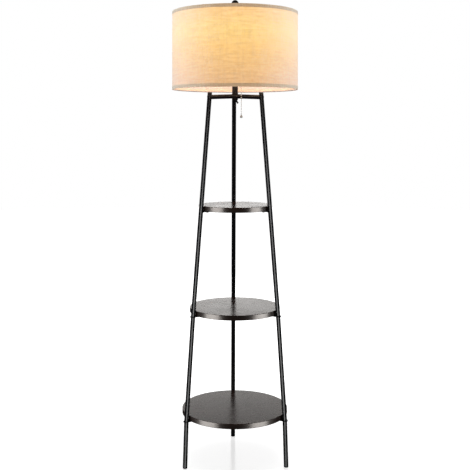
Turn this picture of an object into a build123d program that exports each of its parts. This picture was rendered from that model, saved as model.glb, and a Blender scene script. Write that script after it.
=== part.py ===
from build123d import *

import math
import os

# Shelf floor lamp, in millimetres. +Z is up, the floor is Z = 0 and the lamp's axis is the Z axis.
# The back leg stands on the +Y side; the other two stand at the front left and front right.

# ---------------------------------------------------------------- legs
LEG_BEARINGS = {"back": 90.0, "left": 210.0, "right": 330.0}
TUBE_D = 14.3
TUBE_WALL = 1.0
FOOT_RADIUS = 182.8  # lamp axis to the leg's centre line, at the floor
LOW_JOINT_RADIUS = 178.0  # the same, where the lowest shelf is held
MID_JOINT_RADIUS = 154.6  # the same, where the middle shelf is held
LEG_TOP_RADIUS = 94.3  # the same, at the leg's top end
LEG_TOP_Z = 1175.5
FOOT_CAP_T = 3.5
FOOT_CAP_ROUND = 0.9
TOP_PLUG_T = 2.5
TOP_PLUG_ROUND = 0.6
SPIGOT_L = 14.0
SPIGOT_CLEARANCE = 0.1

# ---------------------------------------------------------------- shelves and what holds them
LOW_SHELF_Z = 146.5  # underside of each shelf
MID_SHELF_Z = 471.0
TOP_SHELF_Z = 799.0
SHELF_T = 16.0
SHELF_CLEARANCE = 0.4  # rim to the leg tubes
SHELF_EDGE_ROUND = 0.9
TAB_T = 3.0
TAB_W = 16.0
TAB_PAST_TUBE = 2.6  # how far a sandwiched tab shows outside its leg
TAB_REACH = 34.0  # leg centre line to the tab's inner end
LUG_W = 12.0
SCREW_INSET = 24.0  # leg centre line to the shelf screw
SCREW_D = 4.0
SCREW_HEAD_D = 8.0
SCREW_HEAD_T = 2.2
SCREW_GRIP = 11.0  # how deep a screw goes into its shelf
SCREW_HOLE_CLEARANCE = 0.25
PILOT_CLEARANCE = 0.05
STUD_D = 6.0
STUD_REACH = 13.0  # how far a stud goes into each tube
STUD_CLEARANCE = 0.05
INSERT_L = 16.0
INSERT_CLEARANCE = 0.05

# ---------------------------------------------------------------- hub and its three arms
ARM_BELOW_TOP = 14.6  # leg top down to the arm's centre line at the leg
ARM_DROOP = 2.7  # degrees below level, going outwards
HUB_D = 19.0
HUB_WALL = 1.5
HUB_BELOW_ARMS = 12.4
HUB_ABOVE_ARMS = 35.6
HUB_CAP_T = 2.5
HUB_CAP_SPIGOT = 6.0
ARM_PLUG_L = 16.0
ARM_SCREW_D = 5.0
ARM_SCREW_GRIP = 13.0
ARM_SCREW_HEAD_D = 9.0
ARM_SCREW_HEAD_T = 1.2
OUTLET_STEM_D = 6.4
OUTLET_TIP_D = 5.0
OUTLET_BORE_D = 3.0
OUTLET_OFFSET = 3.4  # lamp axis to the outlet's stem, towards +X
OUTLET_DROP = 1.2  # hub's lower face down to where the spout turns off
OUTLET_L = 11.5
OUTLET_TILT = 36.0  # degrees from straight down, towards +X

# ---------------------------------------------------------------- lamp holder with its pull switch
NIPPLE_D = 9.8
NIPPLE_BORE = 6.2
NIPPLE_BELOW = 10.0  # below the hub's top face
NIPPLE_ABOVE = 13.0
NUT_FLATS = 15.0
NUT_T = 3.0
HOLDER_D = 36.0
HOLDER_WALL = 0.8
HOLDER_NECK_D = 14.0
HOLDER_CAP_H = 16.0
HOLDER_SHELL_H = 46.0
SWITCH_BODY_D = 30.0
SWITCH_BODY_H = 18.0
SWITCH_FLANGE_T = 4.0
SCREW_SHELL_D = 26.6  # bore that takes the lamp bulb's base
SCREW_SHELL_WALL = 0.5
SCREW_SHELL_H = 24.0
CONTACT_D = 9.0
CONTACT_T = 1.0
GUIDE_ABOVE_CAP = 8.0  # holder cap's rim up to the chain guide's axis
GUIDE_D = 7.2
GUIDE_BORE = 3.2
GUIDE_DROP = 16.0
GUIDE_LIP_D = 9.6
GUIDE_LIP_H = 3.0
CHAIN_RADIUS = 30.0  # lamp axis to the hanging chain
CHAIN_BEARING = -49.7

# ---------------------------------------------------------------- bead chain
BEAD_D = 2.4
BEAD_PITCH = 3.5
LINK_D = 0.9
TOP_CHAIN_L = 14.0  # inside the guide
HANGING_CHAIN_L = 105.0
CHAIN_JOINT_GAP = 0.3
PULL_D = 8.0
PULL_H = 11.0
PULL_NECK_D = 3.6
PULL_NECK_H = 2.2
PULL_BELLY_DROP = 6.8  # from its top down to its widest

# ---------------------------------------------------------------- lamp bulb
BULB_D = 60.0
BULB_L = 108.0
BULB_BASE_H = 24.0
BULB_BASE_CLEARANCE = 0.08
BULB_TIP_D = 9.5
BULB_TIP_H = 2.0
BULB_GLASS_WALL = 0.9

# ---------------------------------------------------------------- harp
SADDLE_W = 12.0
SADDLE_T = 1.8
SADDLE_HALF_SPAN = 25.0
SADDLE_ARM_H = 20.0
HARP_WIRE_D = 3.2
PEG_H = 8.0
HARP_HALF_WIDTH = 60.0
HARP_SHOULDER_R = 34.0
HARP_ELBOW_R = 26.0
HARP_FLAT = 14.0  # half of the level stretch at the top
HARP_SHOULDER_SHARE = 0.36  # of the bow's height, up to its full width
HARP_CROWN_SHARE = 0.8  # and up to where it turns in again
FERRULE_D = 7.0
FERRULE_H = 14.0
STUD_BLOCK_D = 14.0
STUD_BLOCK_H = 8.0
FINIAL_THREAD_D = 6.2
FINIAL_THREAD_H = 16.0
RUNNING_CLEARANCE = 0.05
SEAT_CLEARANCE = 0.1  # between flat faces that turn on each other

# ---------------------------------------------------------------- drum shade and finial
SHADE_D = 406.4
SHADE_H = 250.7
SHADE_ABOVE_LEGS = 10.7  # leg tops up to the shade's lower rim
TRIM_W = 11.0
TRIM_T = 0.4
FABRIC_T = 0.6
LINER_T = 0.8
RING_WIRE_D = 3.2
SPIDER_RECESS = 12.0  # rim down to the spider's hub
SPIDER_HUB_D = 26.0
SPIDER_HUB_T = 1.6
SPIDER_BEARINGS = (90.0, 210.0, 330.0)
SPOKE_D = 3.2
SPOKE_BEND_INSET = 14.0
SPOKE_BEND_R = 5.0
SPOKE_ROOT_R = 7.8  # lamp axis to the spokes' inner ends, under the spider's hub
FINIAL_BALL_D = 23.0
FINIAL_H = 52.0
FINIAL_BASE_D = 15.0
FINIAL_NECK_D = 8.0
FINIAL_RIM_H = 2.5  # straight side of its base
FINIAL_FLARE_H = 5.3  # up to the middle of the flare
FINIAL_NECK_Z = 11.3  # up to where the neck starts
FINIAL_BALL_SINK = 9.2  # ball's centre down to where the neck meets it

# ---------------------------------------------------------------- worked out from the sizes above
TUBE_R = TUBE_D / 2
TUBE_BORE_R = TUBE_R - TUBE_WALL
LOW_TAB_Z = LOW_SHELF_Z - TAB_T
MID_TAB_Z = MID_SHELF_Z - TAB_T
TOP_LUG_Z = TOP_SHELF_Z - TAB_T
ARM_TIP_Z = LEG_TOP_Z - ARM_BELOW_TOP
DROOP = math.tan(math.radians(ARM_DROOP))
TOP_BEADS = round(TOP_CHAIN_L / BEAD_PITCH)
HANGING_BEADS = round(HANGING_CHAIN_L / BEAD_PITCH)
LEG_LINE = (
    (FOOT_RADIUS, 0.0),
    (LOW_JOINT_RADIUS, LOW_SHELF_Z - TAB_T / 2),
    (MID_JOINT_RADIUS, MID_SHELF_Z - TAB_T / 2),
    (LEG_TOP_RADIUS, LEG_TOP_Z),
)


def leg_radius(height):
    """Distance from the lamp's axis to a leg's centre line, at a height."""
    for (low_r, low_z), (high_r, high_z) in zip(LEG_LINE, LEG_LINE[1:]):
        if height <= high_z or high_z == LEG_TOP_Z:
            return low_r + (high_r - low_r) * (height - low_z) / (high_z - low_z)


ARM_TIP_RADIUS = leg_radius(ARM_TIP_Z)
ARM_ROOT_Z = ARM_TIP_Z + ARM_TIP_RADIUS * DROOP
HUB_BOTTOM_Z = ARM_ROOT_Z - HUB_BELOW_ARMS
HUB_TOP_Z = ARM_ROOT_Z + HUB_ABOVE_ARMS
SADDLE_TOP_Z = HUB_TOP_Z + SADDLE_T
HOLDER_Z = SADDLE_TOP_Z + NUT_T
HOLDER_RIM_Z = HOLDER_Z + HOLDER_CAP_H
HOLDER_TOP_Z = HOLDER_RIM_Z + HOLDER_SHELL_H
SWITCH_TOP_Z = HOLDER_RIM_Z + SWITCH_BODY_H
BULB_TIP_Z = SWITCH_TOP_Z + CONTACT_T + SEAT_CLEARANCE
GUIDE_Z = HOLDER_RIM_Z + GUIDE_ABOVE_CAP
GUIDE_MOUTH_Z = GUIDE_Z - GUIDE_DROP
CHAIN_PIVOT_Z = GUIDE_MOUTH_Z - BEAD_D / 2
SHADE_BOTTOM_Z = LEG_TOP_Z + SHADE_ABOVE_LEGS
SHADE_TOP_Z = SHADE_BOTTOM_Z + SHADE_H
SHADE_R = SHADE_D / 2
FABRIC_R = SHADE_R - TRIM_T
LINER_R = FABRIC_R - FABRIC_T
RING_R = LINER_R - LINER_T - TRIM_T - RING_WIRE_D / 2
SPIDER_HUB_Z = SHADE_TOP_Z - SPIDER_RECESS - SPIDER_HUB_T  # underside
HARP_TOP_Z = SPIDER_HUB_Z - SEAT_CLEARANCE
HARP_WIRE_TOP_Z = HARP_TOP_Z - STUD_BLOCK_H / 2
FINIAL_Z = SPIDER_HUB_Z + SPIDER_HUB_T + SEAT_CLEARANCE


# ---------------------------------------------------------------- shared shapes
def rod(start, end, diameter):
    """Round bar from one point to another."""
    along = Vector(*end) - Vector(*start)
    middle = (Vector(*start) + Vector(*end)) * 0.5
    return Plane(origin=middle, z_dir=along) * Cylinder(diameter / 2, along.length)


def between(shape, low, high):
    """What lies of a shape between two heights."""
    width = 4 * FOOT_RADIUS
    return shape & Pos(0, 0, (low + high) / 2) * Box(width, width, high - low)


def turned(*corners):
    """Solid of revolution about the Z axis, from its (radius, height) corners."""
    outline = Polyline(*[(r, 0, z) for r, z in corners], close=True)
    return revolve(make_face(outline), Axis.Z)


def pipe(outer_d, bore_d, low, high):
    """Upright tube on the lamp's axis."""
    return Pos(0, 0, (low + high) / 2) * (
        Cylinder(outer_d / 2, high - low) - Cylinder(bore_d / 2, high - low)
    )


def disc(diameter, low, high, offset=0):
    """Upright bar on the lamp's axis, or offset from it towards +X."""
    return Pos(offset, 0, (low + high) / 2) * Cylinder(diameter / 2, high - low)


def at_bearing(shape, bearing):
    """A shape made on the +X side, turned about the lamp's axis."""
    return Rot(0, 0, bearing) * shape


# ---------------------------------------------------------------- legs, each made on the +X side
def leg_stretch(low, high, diameter):
    """Solid round bar on a leg's centre line between two heights, with level ends."""
    middle = (low + high) / 2
    for (low_r, low_z), (high_r, high_z) in zip(LEG_LINE, LEG_LINE[1:]):
        if low_z <= middle <= high_z:
            slope = (high_r - low_r) / (high_z - low_z)
            spare = diameter
            start = (low_r + slope * (low - spare - low_z), 0, low - spare)
            end = (low_r + slope * (high + spare - low_z), 0, high + spare)
            return between(rod(start, end, diameter), low, high)


def leg_tube(low, high):
    return leg_stretch(low, high, TUBE_D) - leg_stretch(low, high, 2 * TUBE_BORE_R)


def upper_leg_tube():
    """The long top tube, drilled through for the screw that holds its arm."""
    tube = leg_tube(MID_SHELF_Z, LEG_TOP_Z - TOP_PLUG_T)
    return tube - arm_axis_bar(-TUBE_D, TUBE_D, ARM_SCREW_D + 2 * SCREW_HOLE_CLEARANCE)


def foot_cap():
    """Push-in cap that the leg stands on, flush with the tube."""
    flange = leg_stretch(0, FOOT_CAP_T, TUBE_D)
    flange = fillet(flange.edges().group_by(Axis.Z)[0], FOOT_CAP_ROUND)
    spigot_d = 2 * (TUBE_BORE_R - SPIGOT_CLEARANCE)
    return flange + leg_stretch(FOOT_CAP_T, FOOT_CAP_T + SPIGOT_L, spigot_d)


def top_plug():
    """Push-in plug that closes the leg's top end."""
    low = LEG_TOP_Z - TOP_PLUG_T
    flange = leg_stretch(low, LEG_TOP_Z, TUBE_D)
    flange = fillet(flange.edges().group_by(Axis.Z)[-1], TOP_PLUG_ROUND)
    spigot_d = 2 * (TUBE_BORE_R - SPIGOT_CLEARANCE)
    spigot = leg_stretch(ARM_TIP_Z + ARM_SCREW_D, low, spigot_d)
    return flange + spigot


def joint_axis(shelf_z):
    """Centre and direction of the stud that joins two leg tubes through a tab."""
    middle = shelf_z - TAB_T / 2
    above = Vector(leg_radius(middle + STUD_REACH), 0, middle + STUD_REACH)
    below = Vector(leg_radius(middle - STUD_REACH), 0, middle - STUD_REACH)
    return Vector(leg_radius(middle), 0, middle), (above - below).normalized()


def joint_bar(shelf_z, diameter, reach):
    centre, direction = joint_axis(shelf_z)
    return rod(tuple(centre - direction * reach), tuple(centre + direction * reach), diameter)


def joint_inserts(shelf_z):
    """The threaded plugs in the tube ends below and above a tab."""
    plug_d = 2 * (TUBE_BORE_R - INSERT_CLEARANCE)
    bore = joint_bar(shelf_z, STUD_D + 2 * STUD_CLEARANCE, INSERT_L + TUBE_D)
    below = leg_stretch(shelf_z - TAB_T - INSERT_L, shelf_z - TAB_T, plug_d)
    above = leg_stretch(shelf_z, shelf_z + INSERT_L, plug_d)
    return [below - bore, above - bore]


def tab_plate(shelf_z, outer_x, width):
    """Flat bar under a shelf with a round inner end, out to outer_x, drilled for the shelf screw."""
    leg_x = leg_radius(shelf_z - TAB_T / 2)
    inner_x = leg_x - TAB_REACH + width / 2
    bar = Pos((inner_x + outer_x) / 2, 0, 0) * Box(outer_x - inner_x, width, TAB_T)
    bar += Pos(inner_x, 0, 0) * Cylinder(width / 2, TAB_T)
    hole_r = SCREW_D / 2 + SCREW_HOLE_CLEARANCE
    bar -= Pos(leg_x - SCREW_INSET, 0, 0) * Cylinder(hole_r, TAB_T)
    return Pos(0, 0, shelf_z - TAB_T / 2) * bar


def sandwiched_tab(shelf_z):
    """Tab clamped between two leg tubes; its round end shows outside the leg."""
    leg_x = leg_radius(shelf_z - TAB_T / 2)
    end_x = leg_x + TUBE_R + TAB_PAST_TUBE - TAB_W / 2
    tab = tab_plate(shelf_z, end_x, TAB_W)
    tab += Pos(end_x, 0, shelf_z - TAB_T / 2) * Cylinder(TAB_W / 2, TAB_T)
    return tab - joint_bar(shelf_z, STUD_D + 2 * SCREW_HOLE_CLEARANCE, TAB_W)


def welded_lug():
    """Lug welded to the inside of the upper tube, under the top shelf."""
    leg_x = leg_radius(TOP_SHELF_Z - TAB_T / 2)
    lug = tab_plate(TOP_SHELF_Z, leg_x, LUG_W)
    return lug - leg_stretch(TOP_LUG_Z - TAB_T, TOP_SHELF_Z + TAB_T, TUBE_D)


def shelf_screw(shelf_z):
    """Pan-head screw up through a tab into the shelf."""
    head_top = shelf_z - TAB_T
    head = disc(SCREW_HEAD_D, head_top - SCREW_HEAD_T, head_top)
    head = fillet(head.edges().group_by(Axis.Z)[0], SCREW_HEAD_T / 2)
    shank = disc(SCREW_D, head_top, shelf_z + SCREW_GRIP)
    return Pos(leg_radius(shelf_z - TAB_T / 2) - SCREW_INSET, 0, 0) * (head + shank)


def shelf(shelf_z):
    """Round board that fits inside the three legs, with its screws' pilot holes."""
    top_z = shelf_z + SHELF_T
    radius = leg_radius(top_z) - TUBE_R - SHELF_CLEARANCE
    board = disc(2 * radius, shelf_z, top_z)
    board = fillet(board.edges().filter_by(GeomType.CIRCLE), SHELF_EDGE_ROUND)
    screw_x = leg_radius(shelf_z - TAB_T / 2) - SCREW_INSET
    pilot = Pos(screw_x, 0, 0) * disc(
        SCREW_D + 2 * PILOT_CLEARANCE, shelf_z, shelf_z + SCREW_GRIP + PILOT_CLEARANCE
    )
    for bearing in LEG_BEARINGS.values():
        board -= at_bearing(pilot, bearing)
    return board


# ---------------------------------------------------------------- hub and arms
def arm_axis_bar(start, end, diameter):
    """Bar on an arm's centre line, from start to end, counted outwards from the leg's centre line."""
    droop = math.radians(ARM_DROOP)
    outwards = Vector(math.cos(droop), 0, -math.sin(droop))
    tip = Vector(ARM_TIP_RADIUS, 0, ARM_TIP_Z)
    return rod(tuple(tip + outwards * start), tuple(tip + outwards * end), diameter)


def upper_leg_bar():
    """The upper leg's full outer form near its arm."""
    return leg_stretch(ARM_TIP_Z - 2 * TUBE_D, ARM_TIP_Z + 2 * TUBE_D, TUBE_D)


def arm():
    """Tube from the hub to a leg, its ends cut to sit on both."""
    bar = arm_axis_bar(-ARM_TIP_RADIUS, 0, TUBE_D) - arm_axis_bar(-ARM_TIP_RADIUS, 0, 2 * TUBE_BORE_R)
    bar -= disc(HUB_D, HUB_BOTTOM_Z, HUB_TOP_Z)
    return bar - upper_leg_bar()


def arm_plug():
    """Threaded plug inside the arm's outer end."""
    plug = arm_axis_bar(-TUBE_R - ARM_PLUG_L, 0, 2 * (TUBE_BORE_R - INSERT_CLEARANCE))
    plug -= arm_axis_bar(-2 * ARM_PLUG_L, 0, ARM_SCREW_D + 2 * STUD_CLEARANCE)
    return plug - upper_leg_bar()


def arm_screw():
    """Screw through the leg into the arm's plug; its low head is hollowed to sit on the tube."""
    shank = arm_axis_bar(-TUBE_R - ARM_SCREW_GRIP, TUBE_R, ARM_SCREW_D)
    head = arm_axis_bar(TUBE_R / 2, TUBE_R + ARM_SCREW_HEAD_T, ARM_SCREW_HEAD_D) - upper_leg_bar()
    return shank + head


def hub_tube():
    return pipe(HUB_D, HUB_D - 2 * HUB_WALL, HUB_BOTTOM_Z + HUB_CAP_T, HUB_TOP_Z - HUB_CAP_T)


def hub_cap(outer_z, inwards, hole_d, hole_offset=0):
    """Disc that closes one end of the hub tube, with a collar inside the tube."""
    collar_d = HUB_D - 2 * HUB_WALL - 2 * SPIGOT_CLEARANCE
    flange_z = outer_z + inwards * HUB_CAP_T
    collar_z = flange_z + inwards * HUB_CAP_SPIGOT
    cap = disc(HUB_D, min(outer_z, flange_z), max(outer_z, flange_z))
    cap += disc(collar_d, min(flange_z, collar_z), max(flange_z, collar_z))
    return cap - disc(hole_d, min(outer_z, collar_z), max(outer_z, collar_z), hole_offset)


def cord_outlet():
    """Bush in the hub's lower cap with a tapered spout, where the supply cord comes out."""
    stem_top = HUB_BOTTOM_Z + HUB_CAP_T + HUB_CAP_SPIGOT
    turn_z = HUB_BOTTOM_Z - OUTLET_DROP
    stem = disc(OUTLET_STEM_D, turn_z, stem_top)
    stem += Pos(0, 0, turn_z) * Sphere(OUTLET_STEM_D / 2)
    spout = Pos(0, 0, OUTLET_L / 2) * Cone(OUTLET_STEM_D / 2, OUTLET_TIP_D / 2, OUTLET_L)
    bore = Pos(0, 0, OUTLET_L / 2) * Cylinder(OUTLET_BORE_D / 2, OUTLET_L)
    aim = Pos(0, 0, turn_z) * Rot(0, 180 - OUTLET_TILT, 0)
    body = stem + aim * spout
    body -= aim * bore + disc(OUTLET_BORE_D, turn_z, stem_top)
    return Pos(OUTLET_OFFSET, 0, 0) * body


# ---------------------------------------------------------------- lamp holder
def nipple():
    return pipe(NIPPLE_D, NIPPLE_BORE, HUB_TOP_Z - NIPPLE_BELOW, HUB_TOP_Z + NIPPLE_ABOVE)


def lock_nut():
    corner_r = NUT_FLATS / 2 / math.cos(math.pi / 6)
    hexagon = extrude(RegularPolygon(corner_r, 6), NUT_T)
    return Pos(0, 0, SADDLE_TOP_Z) * hexagon - disc(
        NIPPLE_D + 2 * RUNNING_CLEARANCE, SADDLE_TOP_Z, HOLDER_Z
    )


def holder_cap():
    """Lower cup of the lamp holder, a neck that flares into a round bowl."""
    bore_r = NIPPLE_D / 2 + RUNNING_CLEARANCE
    neck_r = HOLDER_NECK_D / 2
    rim_r = HOLDER_D / 2
    neck_top = HOLDER_Z + HOLDER_CAP_H / 4
    flare_top = HOLDER_Z + HOLDER_CAP_H * 3 / 4
    wall = HOLDER_WALL
    return turned(
        (bore_r, HOLDER_Z),
        (neck_r, HOLDER_Z),
        (neck_r, neck_top),
        ((neck_r + rim_r) / 2, (neck_top + flare_top) / 2 - wall),
        (rim_r, flare_top),
        (rim_r, HOLDER_RIM_Z),
        (rim_r - wall, HOLDER_RIM_Z),
        (rim_r - wall, flare_top + wall / 2),
        ((neck_r + rim_r) / 2 - wall, (neck_top + flare_top) / 2 + wall / 2),
        (bore_r, neck_top + wall),
    )


def holder_shell():
    """Upper tube of the lamp holder with a rolled lip, pierced for the chain guide."""
    shell = pipe(HOLDER_D, HOLDER_D - 2 * HOLDER_WALL, HOLDER_RIM_Z, HOLDER_TOP_Z)
    lip = Pos(0, 0, HOLDER_TOP_Z) * Torus(HOLDER_D / 2 - HOLDER_WALL / 2, HOLDER_WALL)
    hole = rod((0, 0, GUIDE_Z), (HOLDER_D, 0, GUIDE_Z), GUIDE_D + 2 * SEAT_CLEARANCE)
    return shell + lip - at_bearing(hole, CHAIN_BEARING)


def switch_body():
    """Moulded body in the holder with the pull switch; its flange fits the shell."""
    flange_d = HOLDER_D - 2 * HOLDER_WALL - 4 * SEAT_CLEARANCE
    body = disc(SWITCH_BODY_D, HOLDER_RIM_Z - SWITCH_FLANGE_T / 2, SWITCH_TOP_Z)
    return body + disc(flange_d, SWITCH_TOP_Z - SWITCH_FLANGE_T, SWITCH_TOP_Z)


def screw_shell():
    """Metal sleeve that the lamp bulb screws into, with a turned-in foot."""
    inner_r = SCREW_SHELL_D / 2
    outer_r = inner_r + SCREW_SHELL_WALL
    foot_r = CONTACT_D / 2 + 2 * CONTACT_T
    return turned(
        (foot_r, SWITCH_TOP_Z),
        (outer_r, SWITCH_TOP_Z),
        (outer_r, SWITCH_TOP_Z + SCREW_SHELL_H),
        (inner_r, SWITCH_TOP_Z + SCREW_SHELL_H),
        (inner_r, SWITCH_TOP_Z + SCREW_SHELL_WALL),
        (foot_r, SWITCH_TOP_Z + SCREW_SHELL_WALL),
    )


def centre_contact():
    return disc(CONTACT_D, SWITCH_TOP_Z, SWITCH_TOP_Z + CONTACT_T)


def chain_guide():
    """Elbow out of the holder's side that lets the chain down through a bell mouth."""
    root = (SWITCH_BODY_D / 2 + SEAT_CLEARANCE, 0, GUIDE_Z)
    corner = (CHAIN_RADIUS, 0, GUIDE_Z)
    mouth = (CHAIN_RADIUS, 0, GUIDE_MOUTH_Z)
    elbow = rod(root, corner, GUIDE_D) + rod(corner, mouth, GUIDE_D)
    elbow += Pos(*corner) * Sphere(GUIDE_D / 2)
    elbow += Pos(CHAIN_RADIUS, 0, GUIDE_MOUTH_Z + GUIDE_LIP_H / 2) * Cone(
        GUIDE_LIP_D / 2, GUIDE_D / 2, GUIDE_LIP_H
    )
    elbow -= rod(root, corner, GUIDE_BORE) + rod(corner, mouth, GUIDE_BORE)
    elbow -= Pos(*corner) * Sphere(GUIDE_BORE / 2)
    flare = Pos(CHAIN_RADIUS, 0, GUIDE_MOUTH_Z + GUIDE_LIP_H / 2) * Cone(
        GUIDE_LIP_D / 2 - LINK_D, GUIDE_BORE / 2, GUIDE_LIP_H
    )
    return at_bearing(elbow - flare, CHAIN_BEARING)


# ---------------------------------------------------------------- bead chain
def bead_string(top_z, count, top_tail, low_tail):
    """Beads on their links at the chain's place; a tail is the link past the end bead's middle."""
    low_z = top_z - (count - 1) * BEAD_PITCH
    string = rod((0, 0, low_z - low_tail), (0, 0, top_z + top_tail), LINK_D)
    for number in range(count):
        string += Pos(0, 0, top_z - number * BEAD_PITCH) * Sphere(BEAD_D / 2)
    return at_bearing(Pos(CHAIN_RADIUS, 0, 0) * string, CHAIN_BEARING)


def chain_top():
    """The beads inside the guide, which the switch draws back."""
    short = BEAD_PITCH - BEAD_D / 2 - CHAIN_JOINT_GAP
    top_z = CHAIN_PIVOT_Z + TOP_BEADS * BEAD_PITCH
    return bead_string(top_z, TOP_BEADS, 0, short)


def chain_swivel():
    """The bead at the guide's mouth that the hanging chain swings on."""
    return bead_string(CHAIN_PIVOT_Z, 1, BEAD_D / 4, BEAD_D / 4)


def hanging_chain():
    short = BEAD_PITCH - BEAD_D / 2 - CHAIN_JOINT_GAP
    return bead_string(CHAIN_PIVOT_Z - BEAD_PITCH, HANGING_BEADS, short, BEAD_PITCH / 2)


def chain_pull():
    """Little turned weight on the chain's end."""
    top_z = CHAIN_PIVOT_Z - HANGING_BEADS * BEAD_PITCH - BEAD_PITCH / 2
    neck_r = PULL_NECK_D / 2
    pull_r = PULL_D / 2
    neck_z = top_z - PULL_NECK_H
    belly_z = top_z - PULL_BELLY_DROP
    with BuildPart() as weight:
        with BuildSketch(Plane.XZ):
            with BuildLine():
                Line((0, top_z), (neck_r, top_z))
                Line((neck_r, top_z), (neck_r, neck_z))
                Spline(
                    (neck_r, neck_z),
                    (pull_r, belly_z),
                    (0, top_z - PULL_H),
                    tangents=((0.4, -1), (-1, 0)),
                )
                Line((0, top_z - PULL_H), (0, top_z))
            make_face()
        revolve(axis=Axis.Z)
    return at_bearing(Pos(CHAIN_RADIUS, 0, 0) * weight.part, CHAIN_BEARING)


# ---------------------------------------------------------------- lamp bulb
def bulb_base():
    """Screw base with its insulated tip contact."""
    base_r = SCREW_SHELL_D / 2 - BULB_BASE_CLEARANCE
    shoulder_z = BULB_TIP_Z + 2 * BULB_TIP_H
    return turned(
        (0, BULB_TIP_Z),
        (BULB_TIP_D / 2, BULB_TIP_Z),
        (BULB_TIP_D / 2, BULB_TIP_Z + BULB_TIP_H / 2),
        (base_r, shoulder_z),
        (base_r, BULB_TIP_Z + BULB_BASE_H),
        (0, BULB_TIP_Z + BULB_BASE_H),
    )


def bulb_glass():
    """Pear-shaped glass, round at the top, drawn in to the base."""
    neck_r = SCREW_SHELL_D / 2 - BULB_BASE_CLEARANCE
    globe_r = BULB_D / 2
    neck_z = BULB_TIP_Z + BULB_BASE_H
    globe_z = BULB_TIP_Z + BULB_L - globe_r

    def envelope(inset):
        with BuildPart() as solid:
            with BuildSketch(Plane.XZ):
                with BuildLine():
                    Line((0, neck_z), (neck_r - inset, neck_z))
                    Spline(
                        (neck_r - inset, neck_z),
                        (globe_r - inset, globe_z),
                        tangents=((0.15, 1), (0, 1)),
                    )
                    RadiusArc((globe_r - inset, globe_z), (0, globe_z + globe_r - inset), -(globe_r - inset))
                    Line((0, globe_z + globe_r - inset), (0, neck_z))
                make_face()
            revolve(axis=Axis.Z)
        return solid.part

    return envelope(0) - envelope(BULB_GLASS_WALL)


# ---------------------------------------------------------------- harp
def harp_saddle():
    """Bent strip under the lamp holder with a peg at each end for the harp."""
    span = 2 * SADDLE_HALF_SPAN
    strip = Pos(0, 0, SADDLE_T / 2) * Box(span + SADDLE_T, SADDLE_W, SADDLE_T)
    strip = fillet(strip.edges().filter_by(Axis.Z), SADDLE_T / 3)
    for side in (-1, 1):
        upright = Pos(side * SADDLE_HALF_SPAN, 0, SADDLE_ARM_H / 2) * Box(SADDLE_T, SADDLE_W, SADDLE_ARM_H)
        ends = upright.edges().group_by(Axis.Z)[-1].filter_by(Axis.X)
        strip += fillet(ends, SADDLE_W / 3)
        foot = (side * SADDLE_HALF_SPAN, 0, SADDLE_ARM_H - HARP_WIRE_D)
        tip = (side * SADDLE_HALF_SPAN, 0, SADDLE_ARM_H + PEG_H)
        strip += rod(foot, tip, HARP_WIRE_D)
    strip -= Cylinder(NIPPLE_D / 2 + RUNNING_CLEARANCE, 4 * SADDLE_T)
    return Pos(0, 0, HUB_TOP_Z) * strip


def harp_wire():
    """Spring-wire bow that carries the shade above the bulb."""
    foot_z = HUB_TOP_Z + SADDLE_ARM_H + PEG_H
    shoulder_z = foot_z + (HARP_WIRE_TOP_Z - foot_z) * HARP_SHOULDER_SHARE
    crown_z = foot_z + (HARP_WIRE_TOP_Z - foot_z) * HARP_CROWN_SHARE
    half = [
        (SADDLE_HALF_SPAN, foot_z),
        (SADDLE_HALF_SPAN, foot_z + FERRULE_H),
        (HARP_HALF_WIDTH, shoulder_z),
        (HARP_HALF_WIDTH, crown_z),
        (HARP_FLAT + HARP_ELBOW_R / 2, HARP_WIRE_TOP_Z),
    ]
    points = half + [(-x, z) for x, z in reversed(half)]
    elbow, shoulder = HARP_ELBOW_R, HARP_SHOULDER_R
    radii = [elbow, shoulder, shoulder, elbow, elbow, shoulder, shoulder, elbow]
    path = FilletPolyline(*[(x, 0, z) for x, z in points], radius=radii)
    section = Plane(origin=(SADDLE_HALF_SPAN, 0, foot_z), z_dir=(0, 0, 1)) * Circle(HARP_WIRE_D / 2)
    return sweep(section, path)


def harp_ferrules():
    """Sleeves that lock the harp's feet on the saddle's pegs."""
    low = HUB_TOP_Z + SADDLE_ARM_H
    sleeve = pipe(FERRULE_D, HARP_WIRE_D + 2 * RUNNING_CLEARANCE, low, low + FERRULE_H)
    return [Pos(side * SADDLE_HALF_SPAN, 0, 0) * sleeve for side in (-1, 1)]


def harp_stud():
    """Block on the harp's top with the screw that takes the finial."""
    block = disc(STUD_BLOCK_D, HARP_TOP_Z - STUD_BLOCK_H, HARP_TOP_Z)
    block += disc(FINIAL_THREAD_D, HARP_TOP_Z, HARP_TOP_Z + FINIAL_THREAD_H)
    wire_hole = rod(
        (-STUD_BLOCK_D, 0, HARP_WIRE_TOP_Z),
        (STUD_BLOCK_D, 0, HARP_WIRE_TOP_Z),
        HARP_WIRE_D + 2 * RUNNING_CLEARANCE,
    )
    return block - wire_hole


# ---------------------------------------------------------------- shade
def drum(outer_r, thickness, low, high):
    return pipe(2 * outer_r, 2 * (outer_r - thickness), low, high)


def rim_trim(rim_z, inwards):
    """Folded strip over a rim of the shade: outer wall, edge and inner wall in one."""
    inner_r = LINER_R - LINER_T
    edge_z = rim_z + inwards * TRIM_T
    hem_z = rim_z + inwards * TRIM_W
    return turned(
        (SHADE_R, rim_z),
        (SHADE_R, hem_z),
        (FABRIC_R, hem_z),
        (FABRIC_R, edge_z),
        (inner_r, edge_z),
        (inner_r, hem_z),
        (inner_r - TRIM_T, hem_z),
        (inner_r - TRIM_T, rim_z),
    )


def ring(centre_z):
    return Pos(0, 0, centre_z) * Torus(RING_R, RING_WIRE_D / 2)


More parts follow.
